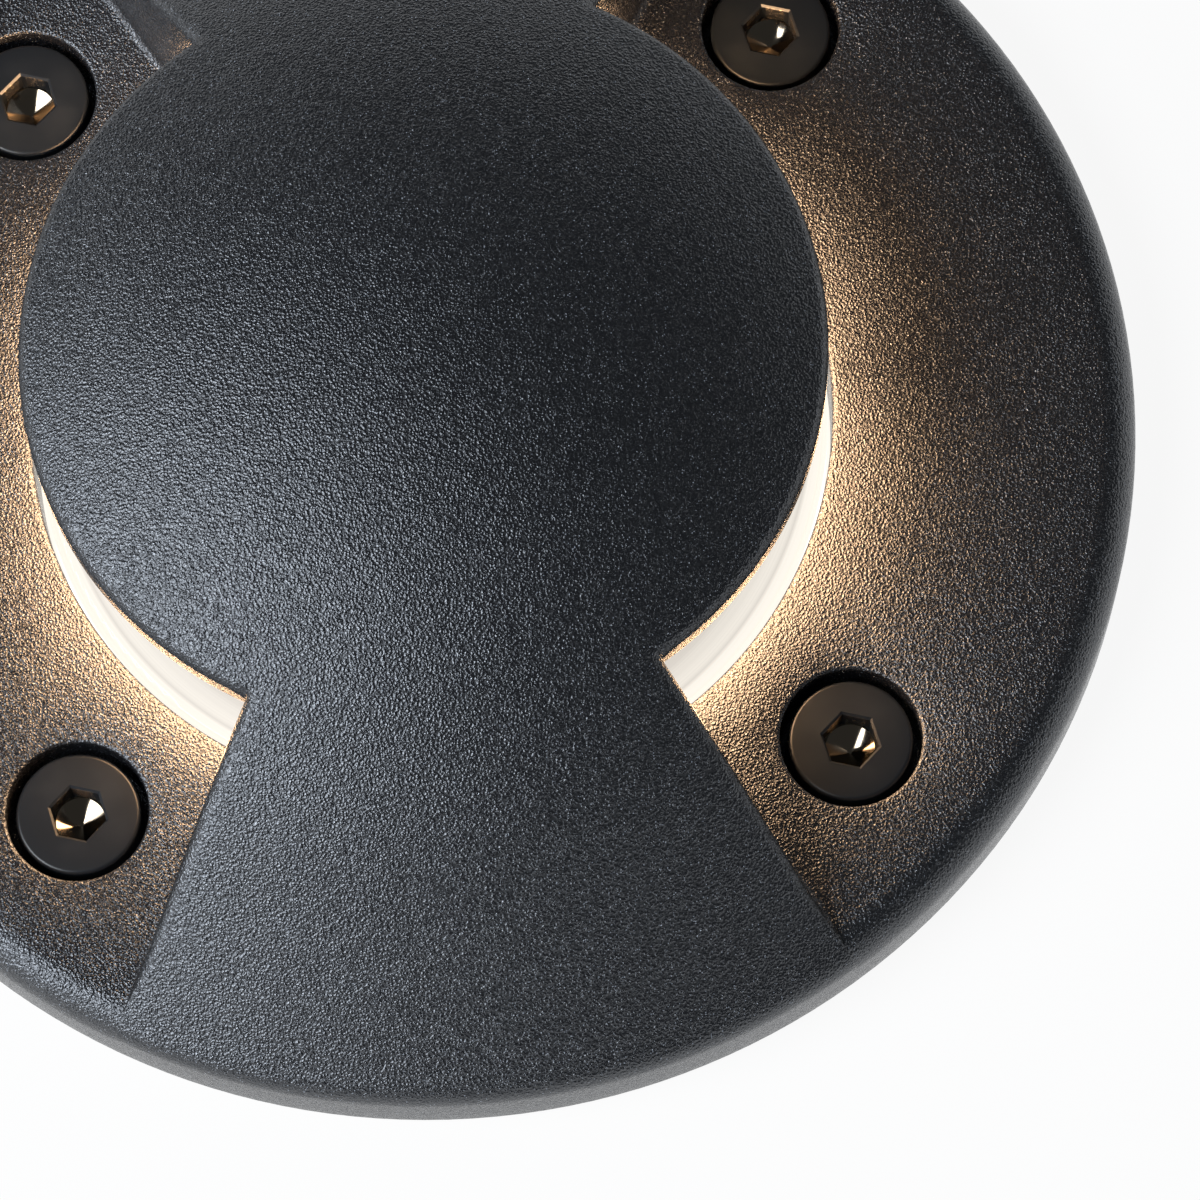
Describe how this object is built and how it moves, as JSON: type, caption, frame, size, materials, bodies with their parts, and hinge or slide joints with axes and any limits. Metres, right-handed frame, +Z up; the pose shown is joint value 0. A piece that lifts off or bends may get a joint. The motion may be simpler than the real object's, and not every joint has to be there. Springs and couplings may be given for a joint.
{
  "type": "in-ground spotlight",
  "caption": "Round in-ground walk-over spotlight: domed cap on wide arms over a lit glass, low side windows, screwed cast cover, sealed lamp housing and a buried sleeve.",
  "frame": {"origin": "the middle of the mounting sleeve's underside, on the fitting's own axis", "axes": "+Z up out of the ground; the light windows face +X and -X, the cover's arms lie along +Y and -Y"},
  "size_m": [0.115, 0.115, 0.1625],
  "materials": {
    "cover_paint": "fine textured powder coat, satin",
    "housing_paint": "smooth powder coat over a casting",
    "screw_black": "smooth black plated, satin",
    "washer_black": "matte",
    "insert_brass": "turned",
    "silicone": "matte silicone",
    "sleeve_plastic": "moulded, fine grain",
    "lamp_shell": "semi-gloss",
    "board_metal": "white solder mask",
    "plated_steel": "zinc plated",
    "holder_ceramic": "unglazed",
    "contact_brass": "bright",
    "bracket_steel": "zinc plated sheet",
    "terminal_plastic": "moulded",
    "lead_insulation": "glass-fibre sleeved silicone",
    "earth_insulation": "green and yellow",
    "gland_plastic": "moulded nylon",
    "gland_rubber": "matte",
    "lit_glass": "clear pressed glass, satin inside, lit warm white",
    "lamp_glass": "prismatic lens",
    "led_yellow": "phosphor coated"
  },
  "bodies": {
    "sleeve": {"mounting_sleeve": "sleeve_plastic"},
    "fitting": {"housing": "housing_paint", "housing_flange": "housing_paint", "housing_ribs": "housing_paint", "threaded_inserts": "insert_brass", "lower_glass_gasket": "silicone", "glass_lens": "lit_glass", "upper_glass_gasket": "silicone", "lampholder": "holder_ceramic", "lampholder_contacts": "contact_brass", "lampholder_bracket": "bracket_steel", "lampholder_screws": "plated_steel", "bracket_screws": "plated_steel", "terminal_block": "terminal_plastic", "terminal_clamps": "contact_brass", "terminal_clamp_screws": "plated_steel", "terminal_block_screws": "plated_steel", "lamp_leads": "lead_insulation", "earth_tag": "contact_brass", "earth_screw": "plated_steel", "earth_wire": "earth_insulation", "cable_gland_body": "gland_plastic", "cable_gland_seal": "gland_rubber", "cable_gland_cap": "gland_plastic", "blanking_plug": "gland_plastic", "entry_locknuts": "gland_plastic", "entry_sealing_rings": "gland_rubber"},
    "cover": {"cover": "cover_paint"},
    "lamp": {"lamp_body": "lamp_shell", "lamp_lens": "lamp_glass", "lamp_led_board": "board_metal", "lamp_led_chips": "led_yellow", "lamp_base": "lamp_shell", "lamp_pins": "plated_steel"},
    "washer_1": {"screw_washer_1": "washer_black"},
    "screw_1": {"cover_screw_1": "screw_black"},
    "washer_2": {"screw_washer_2": "washer_black"},
    "screw_2": {"cover_screw_2": "screw_black"},
    "washer_3": {"screw_washer_3": "washer_black"},
    "screw_3": {"cover_screw_3": "screw_black"},
    "washer_4": {"screw_washer_4": "washer_black"},
    "screw_4": {"cover_screw_4": "screw_black"}
  },
  "joints": [
    {"name": "fitting_lift", "type": "slide", "parent": "sleeve", "child": "fitting", "axis": [0, 0, 1], "range_m": [0, 0.12]},
    {"name": "cover_lift", "type": "slide", "parent": "fitting", "child": "cover", "axis": [0, 0, 1], "range_m": [0, 0.04]},
    {"name": "lamp_twist", "type": "hinge", "parent": "fitting", "child": "lamp", "pos_m": [0, 0, 0.0737], "axis": [0, 0, 1], "range_deg": [0, 25]},
    {"name": "washer_rise_1", "type": "slide", "parent": "cover", "child": "washer_1", "axis": [0, 0, 1], "range_m": [0, 0.013]},
    {"name": "screw_turn_1", "type": "hinge", "parent": "washer_1", "child": "screw_1", "pos_m": [0.03101, 0.03101, 0.1345], "axis": [0, 0, 1], "range_deg": [0, 4680]},
    {"name": "washer_rise_2", "type": "slide", "parent": "cover", "child": "washer_2", "axis": [0, 0, 1], "range_m": [0, 0.013]},
    {"name": "screw_turn_2", "type": "hinge", "parent": "washer_2", "child": "screw_2", "pos_m": [-0.03101, 0.03101, 0.1345], "axis": [0, 0, 1], "range_deg": [0, 4680]},
    {"name": "washer_rise_3", "type": "slide", "parent": "cover", "child": "washer_3", "axis": [0, 0, 1], "range_m": [0, 0.013]},
    {"name": "screw_turn_3", "type": "hinge", "parent": "washer_3", "child": "screw_3", "pos_m": [-0.03101, -0.03101, 0.1345], "axis": [0, 0, 1], "range_deg": [0, 4680]},
    {"name": "washer_rise_4", "type": "slide", "parent": "cover", "child": "washer_4", "axis": [0, 0, 1], "range_m": [0, 0.013]},
    {"name": "screw_turn_4", "type": "hinge", "parent": "washer_4", "child": "screw_4", "pos_m": [0.03101, -0.03101, 0.1345], "axis": [0, 0, 1], "range_deg": [0, 4680]}
  ],
  "couplings": [
    {"joint": "screw_turn_1", "follows": "washer_rise_1", "rad_per_m": 6283.2},
    {"joint": "screw_turn_2", "follows": "washer_rise_2", "rad_per_m": 6283.2},
    {"joint": "screw_turn_3", "follows": "washer_rise_3", "rad_per_m": 6283.2},
    {"joint": "screw_turn_4", "follows": "washer_rise_4", "rad_per_m": 6283.2}
  ]
}
